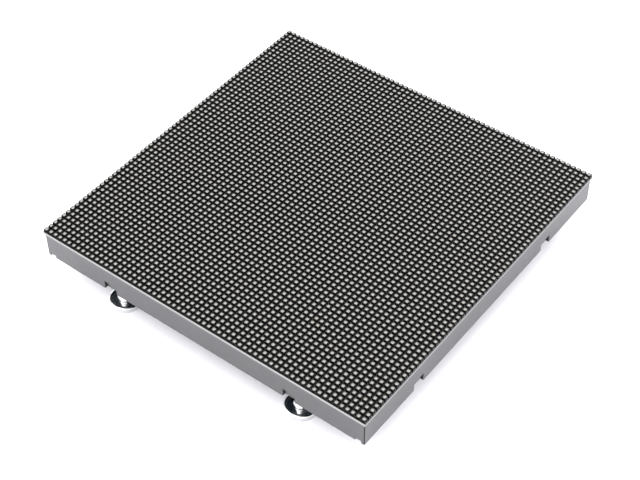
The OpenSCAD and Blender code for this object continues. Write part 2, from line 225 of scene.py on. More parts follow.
class Shader(NodeBuilder):
    """One material's tree round a Principled shader."""

    def __init__(self, name: str) -> None:
        """Makes an empty material.

        Args:
            name: the material's name.
        """
        self.material = bpy.data.materials.new(name)
        self.material.use_nodes = True
        super().__init__(self.material.node_tree)
        self.tree.nodes.clear()
        self.surface = self.add("ShaderNodeBsdfPrincipled")
        self.output = self.add("ShaderNodeOutputMaterial")
        self.tree.links.new(self.surface.outputs["BSDF"], self.output.inputs["Surface"])

    def coords(self) -> bpy.types.NodeSocket:
        """Returns the object coordinates, in metres."""
        return self.add("ShaderNodeTexCoord").outputs["Object"]

    def axes(self) -> tuple[Expr, Expr, Expr]:
        """Reads the object coordinates.

        Returns:
            Their three parts, in millimetres.
        """
        parts = self.add("ShaderNodeSeparateXYZ", sockets={0: self.scaled(self.coords(), 1 / MM)})
        x, y, z = (Expr(self, part) for part in parts.outputs)
        return x, y, z

    def noise(self, size: float, detail: float = 2.0, stretch: Point = (1, 1, 1)) -> Expr:
        """Adds a noise pattern.

        Args:
            size: the size of its features in millimetres.
            detail: how many finer layers it has.
            stretch: how much finer the pattern is along each axis.

        Returns:
            The noise, from 0 to 1.
        """
        sockets = {"Vector": self.coords(), "Scale": stretch}
        placed = self.add("ShaderNodeMapping", {"vector_type": "POINT"}, sockets)
        node = self.add(
            "ShaderNodeTexNoise",
            sockets={"Vector": placed.outputs[0], "Scale": 1 / (size * MM), "Detail": detail},
        )
        return Expr(self, node.outputs["Fac"])

    def cell_noise(self, cell: float) -> Expr:
        """Adds one random number for each square cell of a grid that starts at the origin.

        Args:
            cell: the side of a cell in millimetres.

        Returns:
            The cell's number, from 0 to 1.
        """
        cells = self.scaled(self.coords(), 1 / (cell * MM))
        whole = self.add("ShaderNodeVectorMath", {"operation": "FLOOR"}, {0: cells})
        node = self.add("ShaderNodeTexWhiteNoise", {"noise_dimensions": "2D"}, {"Vector": whole.outputs[0]})
        return Expr(self, node.outputs["Value"])

    def flow(self) -> Expr:
        """Returns the broad flow marks of moulded plastic, from 0 to 1."""
        return self.ramp(self.noise(FLOW_SIZE, detail=3.0), *FLOW_RANGE)

    def uneven(self, roughness: float) -> Expr:
        """Returns a roughness that varies a little over the surface."""
        return roughness + HANDLED_SPREAD * (self.noise(HANDLED_SIZE) - 0.5)

    def attribute(self, name: str) -> Expr:
        """Returns a number that the mesh stores at its points."""
        return Expr(self, self.add("ShaderNodeAttribute", {"attribute_name": name}).outputs["Fac"])

    def ramp(self, factor: Expr, low: float, high: float) -> Expr:
        """Maps a range of a factor smoothly to 0 to 1.

        Args:
            factor: the number to map.
            low: the value that becomes 0.
            high: the value that becomes 1.

        Returns:
            The mapped number.
        """
        node = self.add(
            "ShaderNodeMapRange",
            {"interpolation_type": "SMOOTHSTEP"},
            {"Value": factor, "From Min": low, "From Max": high},
        )
        return Expr(self, node.outputs["Result"])

    def mix(self, factor: Any, first: Any, second: Any) -> bpy.types.NodeSocket:
        """Mixes two colours.

        Args:
            factor: 0 for the first, 1 for the second.
            first: a colour or a colour socket.
            second: a colour or a colour socket.

        Returns:
            The mixed colour.
        """
        first, second = (rgba(c) if isinstance(c, tuple) else c for c in (first, second))
        node = self.add("ShaderNodeMix", {"data_type": "RGBA"}, {0: factor, 6: first, 7: second})
        return node.outputs[2]

    def set(self, **values: Any) -> None:
        """Sets the Principled shader's sockets.

        Args:
            values: socket names with an underscore for each space, and what goes in.
        """
        for key, value in values.items():
            value = rgba(value) if isinstance(value, tuple) else value
            self.feed(self.surface.inputs[key.replace("_", " ")], value)

    def overlay(self, factor: Expr, **values: Any) -> None:
        """Lays a second surface over the first, with the first one's bump.

        Args:
            factor: 1 where the second surface shows.
            values: the second surface's sockets, as for set().
        """
        under, self.surface = self.surface, self.add("ShaderNodeBsdfPrincipled")
        self.set(**values)
        both = {0: factor, 1: under.outputs[0], 2: self.surface.outputs[0]}
        mixed = self.add("ShaderNodeMixShader", sockets=both)
        self.tree.links.new(mixed.outputs[0], self.output.inputs["Surface"])
        self.surface = under

    def bump(self, height: Expr, depth: float) -> None:
        """Raises the surface by a pattern.

        Args:
            height: the pattern, from 0 to 1.
            depth: the pattern's depth in millimetres.
        """
        sockets = {"Strength": 1.0, "Distance": depth * MM, "Height": height}
        node = self.add("ShaderNodeBump", sockets=sockets)
        self.feed(self.surface.inputs["Normal"], node.outputs[0])


def shade(colour: Colour, factor: float) -> Colour:
    """Returns a colour made darker or lighter by a factor."""
    return tuple(part * factor for part in colour)


def rgba(colour: Sequence[float]) -> tuple[float, ...]:
    """Returns a colour with full alpha."""
    return (*colour[:3], 1.0)


# ---- Finishes ----


@dataclass(frozen=True)
class Plastic:
    """Moulded plastic with a fine spark-eroded grain."""

    name: str
    colour: Colour
    roughness: float = 0.5
    sheen: float = 0.5
    grain: float = 0.25
    grain_depth: float = 0.012
    mottle: float = 0.12

    def material(self) -> bpy.types.Material:
        """Builds the finish.

        Returns:
            The material.
        """
        shader = Shader(self.name)
        dark, light = (shade(self.colour, 1 + side * self.mottle) for side in (-1, 1))
        shader.set(
            Base_Color=shader.mix(shader.flow(), dark, light),
            Roughness=shader.uneven(self.roughness),
            Specular_IOR_Level=self.sheen,
        )
        shader.bump(shader.noise(self.grain, detail=3.0), self.grain_depth)
        return shader.material


@dataclass(frozen=True)
class Moulding:
    """The shell's plastic: satin, with painted shade, matt and dark, on its wall's cut edges and along its
    corners.
    """

    name: str
    outer: float
    colour: Colour = (0.024, 0.024, 0.026)
    roughness: float = 0.40
    sheen: float = 0.93
    mottle: float = 0.05
    # painted shade: the dark colour laid on the wall's cut edges and along the corners
    painted_shade: Colour = (0.010, 0.010, 0.011)
    painted_shade_roughness: float = 0.75
    painted_shade_sheen: float = 0.3
    painted_shade_mottle: float = 1.5
    skin: float = 0.25
    cut_depth: float = 1.6
    corner: float = 0.42
    grain: float = 0.25
    grain_depth: float = 0.012

    def material(self) -> bpy.types.Material:
        """Builds the finish.

        Returns:
            The material.
        """
        shader = Shader(self.name)
        x, y, _ = shader.axes()
        along, across = x.absolute(), y.absolute()
        reach = along.larger(across)
        # where the painted shade goes: the wall's cut edges and a thin line along each corner
        cut = (reach < self.outer - self.skin) * (reach > self.outer - self.cut_depth)
        corner = along + across > 2 * self.outer - self.corner
        flow = shader.flow()
        dark, light = (shade(self.colour, 1 + side * self.mottle) for side in (-1, 1))
        shader.set(
            Base_Color=shader.mix(flow, dark, light),
            Roughness=shader.uneven(self.roughness),
            Specular_IOR_Level=self.sheen,
        )
        shader.bump(shader.noise(self.grain, detail=3.0), self.grain_depth)
        # lays the matt, dark painted shade over the satin surface there
        shader.overlay(
            cut.larger(corner),
            Base_Color=shader.mix(flow, self.painted_shade, shade(self.painted_shade, self.painted_shade_mottle)),
            Roughness=self.painted_shade_roughness,
            Specular_IOR_Level=self.painted_shade_sheen,
        )
        return shader.material


@dataclass(frozen=True)
class Metal:
    """Plated or turned metal with fine lines round it or a fine grain."""

    name: str
    colour: Colour
    roughness: float = 0.15
    grain: float = 0.12
    grain_depth: float = 0.001
    stretch: Point = (1, 1, 1)
    stain_size: float = 2.5
    stain_range: tuple[float, float] = (0.4, 0.75)
    stain_shade: float = 0.86
    stain_roughness: float = 0.12

    def material(self) -> bpy.types.Material:
        """Builds the finish.

        Returns:
            The material.
        """
        shader = Shader(self.name)
        stain = shader.ramp(shader.noise(self.stain_size, detail=3.0), *self.stain_range)
        shader.set(
            Base_Color=shader.mix(stain, self.colour, shade(self.colour, self.stain_shade)),
            Roughness=(self.roughness + self.stain_roughness * stain).clamped(),
            Metallic=1.0,
        )
        shader.bump(shader.noise(self.grain, stretch=self.stretch), self.grain_depth)
        return shader.material


@dataclass(frozen=True)
class LampBlack:
    """The black moulding of the lamps: matt, a little greyer on some lamps, with painted shade on its sides
    below the top face.
    """

    name: str
    pitch: float
    top: float
    colour: Colour = (0.011, 0.0108, 0.0102)
    pale: Colour = (0.018, 0.0175, 0.0165)
    # painted shade: the sides below the top face are darker than the top
    sides: Colour = (0.003, 0.003, 0.003)
    face_t: float = 0.03
    roughness: float = 0.55
    spread: float = 0.1
    sheen: float = 0.08
    grain: float = 0.12
    grain_depth: float = 0.006

    def material(self) -> bpy.types.Material:
        """Builds the finish.

        Returns:
            The material.
        """
        shader = Shader(self.name)
        lot = shader.cell_noise(self.pitch)
        _, _, z = shader.axes()
        face = shader.mix(lot, self.colour, self.pale)
        shader.set(
            # below the top face the moulding takes the painted shade colour
            Base_Color=shader.mix(z > self.top - self.face_t, self.sides, face),
            Roughness=self.roughness + self.spread * lot,
            Specular_IOR_Level=self.sheen,
        )
        shader.bump(shader.noise(self.grain), self.grain_depth)
        return shader.material


@dataclass(frozen=True)
class LampResin:
    """The milky resin in a lamp's window, pale in the middle and darkened towards its edge by painted shade
    of the well.
    """

    name: str
    pitch: float
    # painted shade: the colour at the resin's sloped edge, where it meets the well
    edge: Colour = (0.040, 0.040, 0.039)
    middle: Colour = (0.262, 0.257, 0.247)
    warm: Colour = (0.262, 0.250, 0.226)
    warm_from: float = 0.93
    roughness: float = 0.4
    sheen: float = 0.2
    grain: float = 0.35
    grain_depth: float = 0.01

    def material(self) -> bpy.types.Material:
        """Builds the finish.

        Returns:
            The material.
        """
        shader = Shader(self.name)
        lot = shader.cell_noise(self.pitch)
        pale = shader.mix(shader.ramp(lot, self.warm_from, 1.0), self.middle, self.warm)
        depth = shader.attribute(WINDOW_DEPTH)
        shader.set(
            # the resin darkens from its middle to its edge: painted shade
            Base_Color=shader.mix(depth, self.edge, pale),
            Roughness=self.roughness,
            Specular_IOR_Level=self.sheen,
        )
        shader.bump(shader.noise(self.grain), self.grain_depth)
        return shader.material


@dataclass(frozen=True)
class Laminate:
    """The circuit board: black mask in front, dark blue behind and bare laminate at its cut edge; its left
    and right cut edges are darker above a band of painted highlight along their lower part.
    """

    name: str
    low: float
    high: float
    mask: Colour = (0.006, 0.006, 0.0065)
    back_mask: Colour = (0.009, 0.027, 0.045)
    edge: Colour = (0.29, 0.29, 0.285)
    glass: Colour = (0.25, 0.248, 0.242)
    # painted highlight: the pale band along the lower part of the left and right cut edges
    painted_highlight: Colour = (0.30, 0.30, 0.30)
    # the darker colour on the upper part of the left and right cut edges
    dark_x_edge: Colour = (0.135, 0.135, 0.137)
    dark_x_share: float = 0.56
    dark_x_blur: float = 0.1
    mask_t: float = 0.05
    layer_size: float = 0.9
    layer_stretch: Point = (0.15, 0.15, 3.0)
    layer_range: tuple[float, float] = (0.35, 0.7)
    track_pitch: float = 1.3
    track_share: float = 0.3
    track_light: float = 1.4
    track_turn: float = 17.0
    track_patch: float = 9.0
    track_bare: float = 0.47
    roughness: float = 0.42
    cut_rougher: float = 0.3
    sheen: float = 0.3
    grain: float = 0.2
    grain_share: float = 0.3
    relief: float = 0.01

    def material(self) -> bpy.types.Material:
        """Builds the finish.

        Returns:
            The material.
        """
        shader = Shader(self.name)
        x, y, z = shader.axes()
        cut = (z > self.low + self.mask_t) * (z < self.high - self.mask_t)
        layers = shader.noise(self.layer_size, stretch=self.layer_stretch)
        bare = shader.mix(shader.ramp(layers, *self.layer_range), self.edge, self.glass)
        depth = (z - self.low) / (self.high - self.low)
        # left and right cut edges: darker over their upper part, with a painted highlight along the lower
        # part
        start, blur = 1 - self.dark_x_share, self.dark_x_blur
        dark_x_edge = shader.mix(shader.ramp(depth, start - blur, start + blur), self.painted_highlight, self.dark_x_edge)
        bare = shader.mix(x.absolute() > y.absolute(), bare, dark_x_edge)
        across = shader.noise(self.track_turn, detail=0.0) > 0.5
        tracks = self.lanes(x) * across + self.lanes(y) * (1 - across)
        tracks = tracks * (shader.noise(self.track_patch, detail=0.0) > self.track_bare)
        back = shader.mix(tracks, self.back_mask, shade(self.back_mask, self.track_light))
        covered = shader.mix(z < (self.low + self.high) / 2, self.mask, back)
        shader.set(
            Base_Color=shader.mix(cut, covered, bare),
            Roughness=self.roughness + self.cut_rougher * cut,
            Specular_IOR_Level=self.sheen,
        )
        height = shader.noise(self.grain) * self.grain_share + tracks * self.grain_share * (1 - cut)
        shader.bump(height, self.relief)
        return shader.material

    def lanes(self, axis: Expr) -> Expr:
        """Returns 1 on the evenly spaced tracks that lie across an axis."""
        return (axis / self.track_pitch).fraction() < self.track_share


# ---- Meshes and pieces ----


def mesh_object(name: str, points: Iterable[Point], faces: Iterable[Sequence[int]]) -> bpy.types.Object:
    """Makes an object from points and faces.

    Args:
        name: the object's name.
        points: its points, in millimetres.
        faces: its faces, as lists of point numbers.

    Returns:
        The object, linked to the scene.
    """
    mesh = bpy.data.meshes.new(name)
    mesh.from_pydata([Vector(p) * MM for p in points], [], [list(f) for f in faces])
    mesh.validate()
    piece = bpy.data.objects.new(name, mesh)
    bpy.context.scene.collection.objects.link(piece)
    return piece


def closed_object(name: str, points: Iterable[Point], faces: Iterable[Sequence[int]]) -> bpy.types.Object:
    """Makes an object from the points and faces of a closed mesh, its faces turned outwards.

    Args:
        name: the object's name.
        points: its points, in millimetres.
        faces: its faces, as lists of point numbers, in either direction.

    Returns:
        The object, linked to the scene.
    """
    piece = mesh_object(name, points, faces)
    work = bmesh.new()
    work.from_mesh(piece.data)
    bmesh.ops.recalc_face_normals(work, faces=work.faces)
    work.to_mesh(piece.data)
    work.free()
    return piece


def band(first: int, second: int, count: int) -> list[list[int]]:
    """Returns the faces between two rings of count points, given each ring's first point."""
    following = [(k + 1) % count for k in range(count)]
    return [[first + k, first + n, second + n, second + k] for k, n in enumerate(following)]


def evaluated(host: bpy.types.Object) -> bpy.types.Mesh:
    """Applies an object's modifiers to a new mesh and takes them off the object.

    Args:
        host: the object.

    Returns:
        The new mesh.
    """
    bpy.context.view_layer.update()
    graph = bpy.context.evaluated_depsgraph_get()
    mesh = bpy.data.meshes.new_from_object(
        host.evaluated_get(graph), preserve_all_data_layers=True, depsgraph=graph
    )
    host.modifiers.clear()
    return mesh


def dress(piece: bpy.types.Object, material: bpy.types.Material) -> None:
    """Gives a piece one material and no other."""
    piece.data.materials.clear()
    piece.data.materials.append(material)


def dress_node(node: bpy.types.Object, material: bpy.types.Material) -> None:
    """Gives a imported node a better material, its shape left as it is.

    Args:
        node: the node's object.
        material: its new material.
    """
    for slot in node.material_slots:
        slot.material = material
    if not node.material_slots:
        node.data.materials.append(material)


def remove(helper: bpy.types.Object) -> None:
    """Deletes a helper object and its mesh.

    Args:
        helper: the object to delete.
    """
    mesh = helper.data
    bpy.data.objects.remove(helper)
    bpy.data.meshes.remove(mesh)


@dataclass
class Outline:
    """A rounded square, as its points round the centre."""

    half: float
    corner: float
    steps: int = 2
    at: tuple[float, float] = (0.0, 0.0)

    def points(self, z: float, scale: float = 1.0) -> list[Point]:
        """Places the outline at a height.

        Args:
            z: the height in millimetres.
            scale: how much smaller or larger than the outline the points lie.

        Returns:
            The points, counter-clockwise from above.
        """
        centre = self.half - self.corner
        found = []
        for quarter in range(4):
            base = quarter * math.pi / 2
            cx = centre * (1 if quarter in (0, 3) else -1)
            cy = centre * (1 if quarter in (0, 1) else -1)
            for step in range(self.steps + 1):
                angle = base + step / self.steps * math.pi / 2
                x = (cx + self.corner * math.cos(angle)) * scale
                y = (cy + self.corner * math.sin(angle)) * scale
                found.append((self.at[0] + x, self.at[1] + y, z))
        return found


class GeometryTree(NodeBuilder):
    """A Geometry Nodes tree with named inputs that ends in plain, dressed geometry."""

    def __init__(self, name: str, inputs: Mapping[str, str]) -> None:
        """Makes the tree and its inputs.

        Args:
            name: the tree's name.
            inputs: each input's name and its kind of socket.
        """
        super().__init__(bpy.data.node_groups.new(name, "GeometryNodeTree"))
        face = self.tree.interface
        face.new_socket("Geometry", in_out="INPUT", socket_type="NodeSocketGeometry")
        self.ids = {}
        for key, kind in {**inputs, "Material": "NodeSocketMaterial"}.items():
            self.ids[key] = face.new_socket(key, in_out="INPUT", socket_type=kind).identifier
        face.new_socket("Geometry", in_out="OUTPUT", socket_type="NodeSocketGeometry")
        self.start = self.add("NodeGroupInput")
        self.end = self.add("NodeGroupOutput")

    def input(self, name: str) -> bpy.types.NodeSocket:
        """Returns the socket that carries one of the tree's inputs."""
        return self.start.outputs[name]

    def copies(self, points: bpy.types.NodeSocket, turn: bpy.types.NodeSocket) -> bpy.types.NodeSocket:
        """Puts a copy of the input named Shape on each point.

        Args:
            points: the points.
            turn: each copy's turn about Z.

        Returns:
            The copies.
        """
        turned = self.add("ShaderNodeCombineXYZ", sockets={2: turn})
        shape = self.add("GeometryNodeObjectInfo", sockets={"Object": self.input("Shape")})
        sockets = {
            "Points": points,
            "Instance": shape.outputs["Geometry"],
            "Rotation": turned.outputs[0],
        }
        return self.add("GeometryNodeInstanceOnPoints", sockets=sockets).outputs[0]

    def finish(self, geometry: bpy.types.NodeSocket) -> None:
        """Ends the tree: instances become real and take the material.

        Args:
            geometry: the geometry to end with.
        """
        real = self.add("GeometryNodeRealizeInstances", sockets={"Geometry": geometry})
        dressed = self.add(
            "GeometryNodeSetMaterial",
            sockets={"Geometry": real.outputs[0], "Material": self.input("Material")},
        )
        self.tree.links.new(dressed.outputs[0], self.end.inputs[0])

    def run(self, host: bpy.types.Object, name: str, values: Mapping[str, Any]) -> bpy.types.Object:
        """Runs the tree on a host object and keeps the result as a plain mesh.

        Args:
            host: the object that carries the points, deleted afterwards.
            name: the new piece's name.
            values: what goes into each named input.

        Returns:
            The piece.
        """
        modifier = host.modifiers.new("copies", "NODES")
        modifier.node_group = self.tree
        for key, value in values.items():
            modifier[self.ids[key]] = value
        mesh = evaluated(host)
        mesh.name = name
        remove(host)
        piece = bpy.data.objects.new(name, mesh)
        bpy.context.scene.collection.objects.link(piece)
        return piece


class GridOfCopies:
    """A square grid of copies of one shape, each a little off its place and its turn."""

    def __init__(self) -> None:
        """Builds the tree."""
        tree = GeometryTree(
            "grid_of_copies",
            {
                "Shape": "NodeSocketObject",
                "Pitch": "NodeSocketFloat",
                "Columns": "NodeSocketInt",
                "Rows": "NodeSocketInt",
                "Centre": "NodeSocketVector",
                "Play": "NodeSocketFloat",
                "Seed": "NodeSocketInt",
            },
        )
        pitch, columns, rows = (tree.input(k) for k in ("Pitch", "Columns", "Rows"))

        def span(count: bpy.types.NodeSocket) -> Expr:
            """Returns the length of a row of so many copies."""
            return (Expr(tree, count) - 1.0) * Expr(tree, pitch)

        sides = {"Size X": span(columns), "Size Y": span(rows), "Vertices X": columns, "Vertices Y": rows}
        grid = tree.add("GeometryNodeMeshGrid", sockets=sides)
        play = Expr(tree, tree.input("Play"))
        reach = tree.add("ShaderNodeCombineXYZ", sockets={0: play, 1: play})
        back = tree.scaled(reach.outputs[0], -1.0)
        shift = tree.add(
            "FunctionNodeRandomValue",
            {"data_type": "FLOAT_VECTOR"},
            {0: back, 1: reach.outputs[0], "Seed": tree.input("Seed")},
        )
        centred = tree.add(
            "ShaderNodeVectorMath", {"operation": "ADD"}, {0: shift.outputs[0], 1: tree.input("Centre")}
        )
        placed = tree.add(
            "GeometryNodeSetPosition", sockets={"Geometry": grid.outputs[0], "Offset": centred.outputs[0]}
        )
        turn = tree.add(
            "FunctionNodeRandomValue",
            {"data_type": "FLOAT"},
            {2: -LAMP_TURN, 3: LAMP_TURN, "Seed": tree.input("Seed")},
        )
        tree.finish(tree.copies(placed.outputs[0], turn.outputs[1]))
        self.tree = tree

    def make(self, name: str, values: Mapping[str, Any]) -> bpy.types.Object:
        """Makes one grid of copies from the tree's inputs."""
        return self.tree.run(mesh_object("grid_host", [(0, 0, 0)], []), name, values)


class CopiesAtPoints:
    """Copies of one shape at listed places, each turned about Z by its own angle."""

    def __init__(self) -> None:
        """Builds the tree."""
        tree = GeometryTree("copies_at_points", {"Shape": "NodeSocketObject"})
        turn = tree.add("GeometryNodeInputNamedAttribute", {"data_type": "FLOAT"}, {"Name": TURN})
        tree.finish(tree.copies(tree.start.outputs["Geometry"], turn.outputs[0]))
        self.tree = tree

    def make(
        self,
        name: str,
        shape: bpy.types.Object,
        places: Sequence[tuple[Point, float]],
        material: bpy.types.Material,
    ) -> bpy.types.Object:
        """Makes the copies.

        Args:
            name: the piece's name.
            shape: the shape to copy, deleted afterwards.
            places: each copy's place in millimetres and its turn in radians.
            material: the copies' material.

        Returns:
            The piece.
        """
        host = mesh_object("places", [place for place, _ in places], [])
        turns = host.data.attributes.new(TURN, "FLOAT", "POINT")
        turns.data.foreach_set("value", [turn for _, turn in places])
        piece = self.tree.run(host, name, {"Shape": shape, "Material": material})
        remove(shape)
        return piece


# ---- Sub-assemblies ----


@dataclass
class Finishes:
    """Every material of the module, made once."""

    nodes: Mapping[str, bpy.types.Object]
    pitch: float
    board_low: float
    board_high: float
    lamp_top: float
    shell_outer: float
    made: dict[str, bpy.types.Material] = field(default_factory=dict)

    def __post_init__(self) -> None:
        """Makes the materials."""
        kinds = (
            LampBlack("lamp_black", self.pitch, self.lamp_top),
            LampResin("lamp_resin", self.pitch),
            Laminate("board_laminate", self.board_low, self.board_high),
            Moulding("shell_grey", self.shell_outer),
            Plastic("header_black", (0.018, 0.018, 0.018), 0.42, mottle=0.05),
            Plastic("header_white", (0.42, 0.41, 0.37), 0.4, mottle=0.03),
            Plastic("chip_black", (0.020, 0.020, 0.021), 0.55, grain=0.1, grain_depth=0.006),
            Plastic("ceramic_tan", (0.42, 0.30, 0.19), 0.4, grain=0.1, grain_depth=0.004),
            Plastic("resistor_black", (0.015, 0.015, 0.016), 0.25, grain=0.1, grain_depth=0.002),
            Plastic("print_white", (0.34, 0.34, 0.33), 0.6, grain=0.1, grain_depth=0.002),
            Plastic("mark_black", (0.012, 0.012, 0.012), 0.5, grain=0.1, grain_depth=0.002),
            Metal("bright_nickel", (0.66, 0.67, 0.68), 0.13, stretch=(0.05, 0.05, 2.0)),
            Metal("magnet_nickel", (0.42, 0.42, 0.43), 0.25),
            Metal("zinc_plate", (0.36, 0.37, 0.38), 0.32),
            Metal("tin", (0.46, 0.455, 0.44), 0.35, grain=0.2, grain_depth=0.004),
            Metal("lamp_tin", (0.24, 0.24, 0.235), 0.45, grain=0.2, grain_depth=0.004),
            Metal("brass", (0.80, 0.60, 0.27), 0.22, stretch=(0.05, 0.05, 2.0)),
            Metal("gold_flash", (0.90, 0.70, 0.34), 0.20),
            Metal("can_aluminium", (0.40, 0.40, 0.41), 0.30, stretch=(0.1, 0.1, 2.0)),
        )
        for kind in kinds:
            self.made[kind.name] = kind.material()

    def __getitem__(self, name: str) -> bpy.types.Material:
        """Returns a material by its name."""
        return self.made[name]

    def dress(self, finishes: Mapping[str, str]) -> None:
        """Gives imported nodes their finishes, both by name."""
        for name, finish in finishes.items():
            dress_node(self.nodes[name], self.made[finish])


@dataclass
class Lamp:
    """One surface-mount lamp: a black moulding, a sunk resin window and four terminals."""

    side: float = 2.1
    height: float = 1.3
    bevel: float = 0.06
    window: Outline = field(default_factory=lambda: Outline(0.85, 0.40, at=(-0.10, 0.11)))
    window_sunk: float = 0.06
    window_depth: float = 0.38
    floor_share: float = 0.70
    middle_drop: float = 0.92
    under_gap: float = 0.02
    under_share: float = 0.99
    well_extra: float = 0.05
    well_share: float = 0.98
    terminal_w: float = 0.55
    terminal_y: float = 0.52
    terminal_t: float = 0.07
    terminal_top: float = 0.55
    fillet_share: float = 0.55
    fillet: float = 0.10

    def body(self) -> bpy.types.Object:
        """Makes the moulding, a bevelled box with an open well for the resin.

        Returns:
            The moulding.
        """
        half, top = self.side / 2, self.height
        low = [(sx * half, sy * half, 0.0) for sx, sy in ((1, 1), (-1, 1), (-1, -1), (1, -1))]
        high = [(x, y, top - self.bevel) for x, y, _ in low]
        shrink = 1 - self.bevel / half
        rim = [(x * shrink, y * shrink, top) for x, y, _ in low]
        mouth = self.window.points(top)
        well = self.window.points(top - self.window_depth - self.well_extra, self.well_share)
        points = low + high + rim + mouth + well
        count = len(mouth)
        first_mouth = 3 * len(low)
        first_well = first_mouth + count
        faces = [[3, 2, 1, 0], *band(0, 4, 4), *band(4, 8, 4), *band(first_mouth, first_well, count)]
        per_corner = count // 4
        for i in range(4):
            start = first_mouth + i * per_corner
            for k in range(per_corner - 1):
                faces.append([8 + i, start + k + 1, start + k])
            following = first_mouth + ((i + 1) * per_corner) % count
            faces.append([8 + i, 8 + (i + 1) % 4, following, start + per_corner - 1])
        faces.append([first_well + k for k in range(count)])
        return mesh_object("lamp_moulding", points, faces)

    def resin(self) -> bpy.types.Object:
        """Makes the resin, with a sloped edge, a nearly flat middle and a closed underside.

        Returns:
            The resin.
        """
        top = self.height - self.window_sunk
        drop = self.window_depth - self.window_sunk
        mouth = self.window.points(top)
        floor = self.window.points(top - drop, self.floor_share)
        under = self.window.points(self.height - self.window_depth - self.under_gap, self.under_share)
        middle = (*self.window.at, top - self.middle_drop * drop)
        count = len(mouth)
        points = [*mouth, *floor, middle, *under]
        depths = [0.0] * count + [1.0] * (count + 1) + [0.0] * count
        centre, first_under = 2 * count, 2 * count + 1
        faces = band(0, count, count) + band(first_under, 0, count)
        faces += [[count + k, count + (k + 1) % count, centre] for k in range(count)]
        faces.append([first_under + k for k in reversed(range(count))])
        piece = mesh_object("lamp_window", points, faces)
        stored = piece.data.attributes.new(WINDOW_DEPTH, "FLOAT", "POINT")
        stored.data.foreach_set("value", depths)
        for face in piece.data.polygons:
            face.use_smooth = True
        return piece

    def terminals(self, side: Side) -> bpy.types.Object:
        """Makes the two terminals on one side, each with its solder fillet.

        Args:
            side: the side of the lamp.

        Returns:
            The terminals, as one object.
        """
        half, sign = self.side / 2, side.value
        profile = (
            (half, self.terminal_top),
            (half + self.terminal_t, self.terminal_top),
            (half + self.terminal_t, self.terminal_top * self.fillet_share),
            (half + self.terminal_t + self.fillet, 0.0),
            (half, 0.0),
        )
        points: list[Point] = []
        faces: list[list[int]] = []
        for centre in (-self.terminal_y, self.terminal_y):
            start = len(points)
            for edge in (-1, 1):
                y = centre + edge * self.terminal_w / 2
                points += [(sign * x, y, z) for x, z in profile]
            count = len(profile)
            near, far = (list(range(first, first + count)) for first in (start, start + count))
            faces += [near, far, *band(start, start + count, count)]
        return closed_object("lamp_terminals", points, faces)


@dataclass
class LampMatrix:
    """The square matrix of separate lamps on the board."""

    finishes: Finishes
    count: int = LAMPS_A_SIDE
    play: float = 0.02
    shift: tuple[float, float] = (-0.09, 0.14)
    seed: int = 7
    lamp: Lamp = field(default_factory=Lamp)

    def build(self) -> list[bpy.types.Object]:
        """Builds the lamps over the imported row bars.

        Returns:
            The pieces.
        """
        low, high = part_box("lamp_rows")
        pitch = self.finishes.pitch * MM
        self.lamp.height = (high.z - low.z) / MM
        grid = GridOfCopies()
        shapes = (
            ("lamp_mouldings", self.lamp.body(), "lamp_black"),
            ("lamp_windows", self.lamp.resin(), "lamp_resin"),
            ("lamp_terminals_left", self.lamp.terminals(Side.LEFT), "lamp_tin"),
            ("lamp_terminals_right", self.lamp.terminals(Side.RIGHT), "lamp_tin"),
        )
        made = []
        rows = self.count // len(Half)
        for name, shape, finish in shapes:
            for half in Half:
                offset = (half.value - 0.5) * rows * pitch
                values = {
                    "Shape": shape,
                    "Pitch": pitch,
                    "Columns": self.count,
                    "Rows": rows,
                    "Centre": (
                        (low.x + high.x) / 2 + self.shift[0] * MM,
                        (low.y + high.y) / 2 + self.shift[1] * MM + offset,
                        low.z,
                    ),
                    "Play": self.play * MM,
                    "Seed": self.seed + half.value,
                    "Material": self.finishes[finish],
                }
                made.append(grid.make(f"{name}_{half.name.lower()}", values))
            remove(shape)
        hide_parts("lamp_rows")
        return made


@dataclass
class ChipLeads:
    """The gull-wing leads along both long sides of a kind of chip."""

    node: str
    leads_a_side: int
    pitch: float
    width: float = 0.26
    thickness: float = 0.16
    reach: float = 1.0
    knee_share: float = 0.35
    ankle_share: float = 0.55
    solder: float = 0.02

    def shape(self, height: float) -> bpy.types.Object:
        """Makes one lead that leaves a chip along +Y at half its height.

        Args:
            height: the chip's height in millimetres.

        Returns:
            The lead.
        """
        mid, foot = -height / 2, -self.solder - self.thickness
        knee, ankle = self.reach * self.knee_share, self.reach * self.ankle_share
        half = self.width / 2
        points: list[Point] = []
        for y, z in ((0.0, mid), (knee, mid), (ankle, foot), (self.reach, foot)):
            upper = z + self.thickness
            points += [(-half, y, z), (-half, y, upper), (half, y, upper), (half, y, z)]
        faces = [[0, 1, 2, 3], [12, 13, 14, 15]]
        for start in (0, 4, 8):
            faces += band(start, start + 4, 4)
        return closed_object("lead", points, faces)


def solid_boxes(node: bpy.types.Object) -> list[tuple[Vector, Vector]]:
    """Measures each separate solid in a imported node.

    Args:
        node: the node's object.

    Returns:
        Each solid's lowest and highest corner, in millimetres.
    """
    work = bmesh.new()
    work.from_mesh(node.data)
    bmesh.ops.remove_doubles(work, verts=work.verts, dist=1e-6)
    boxes = []
    left = set(work.verts)
    while left:
        stack = [left.pop()]
        island = []
        while stack:
            vert = stack.pop()
            island.append(vert.co.copy())
            for edge in vert.link_edges:
                other = edge.other_vert(vert)
                if other in left:
                    left.remove(other)
                    stack.append(other)
        low = Vector(min(c[i] for c in island) for i in range(3)) / MM
        high = Vector(max(c[i] for c in island) for i in range(3)) / MM
        boxes.append((low, high))
    work.free()
    return sorted(boxes, key=lambda b: (round(b[0].x, 2), round(b[0].y, 2)))


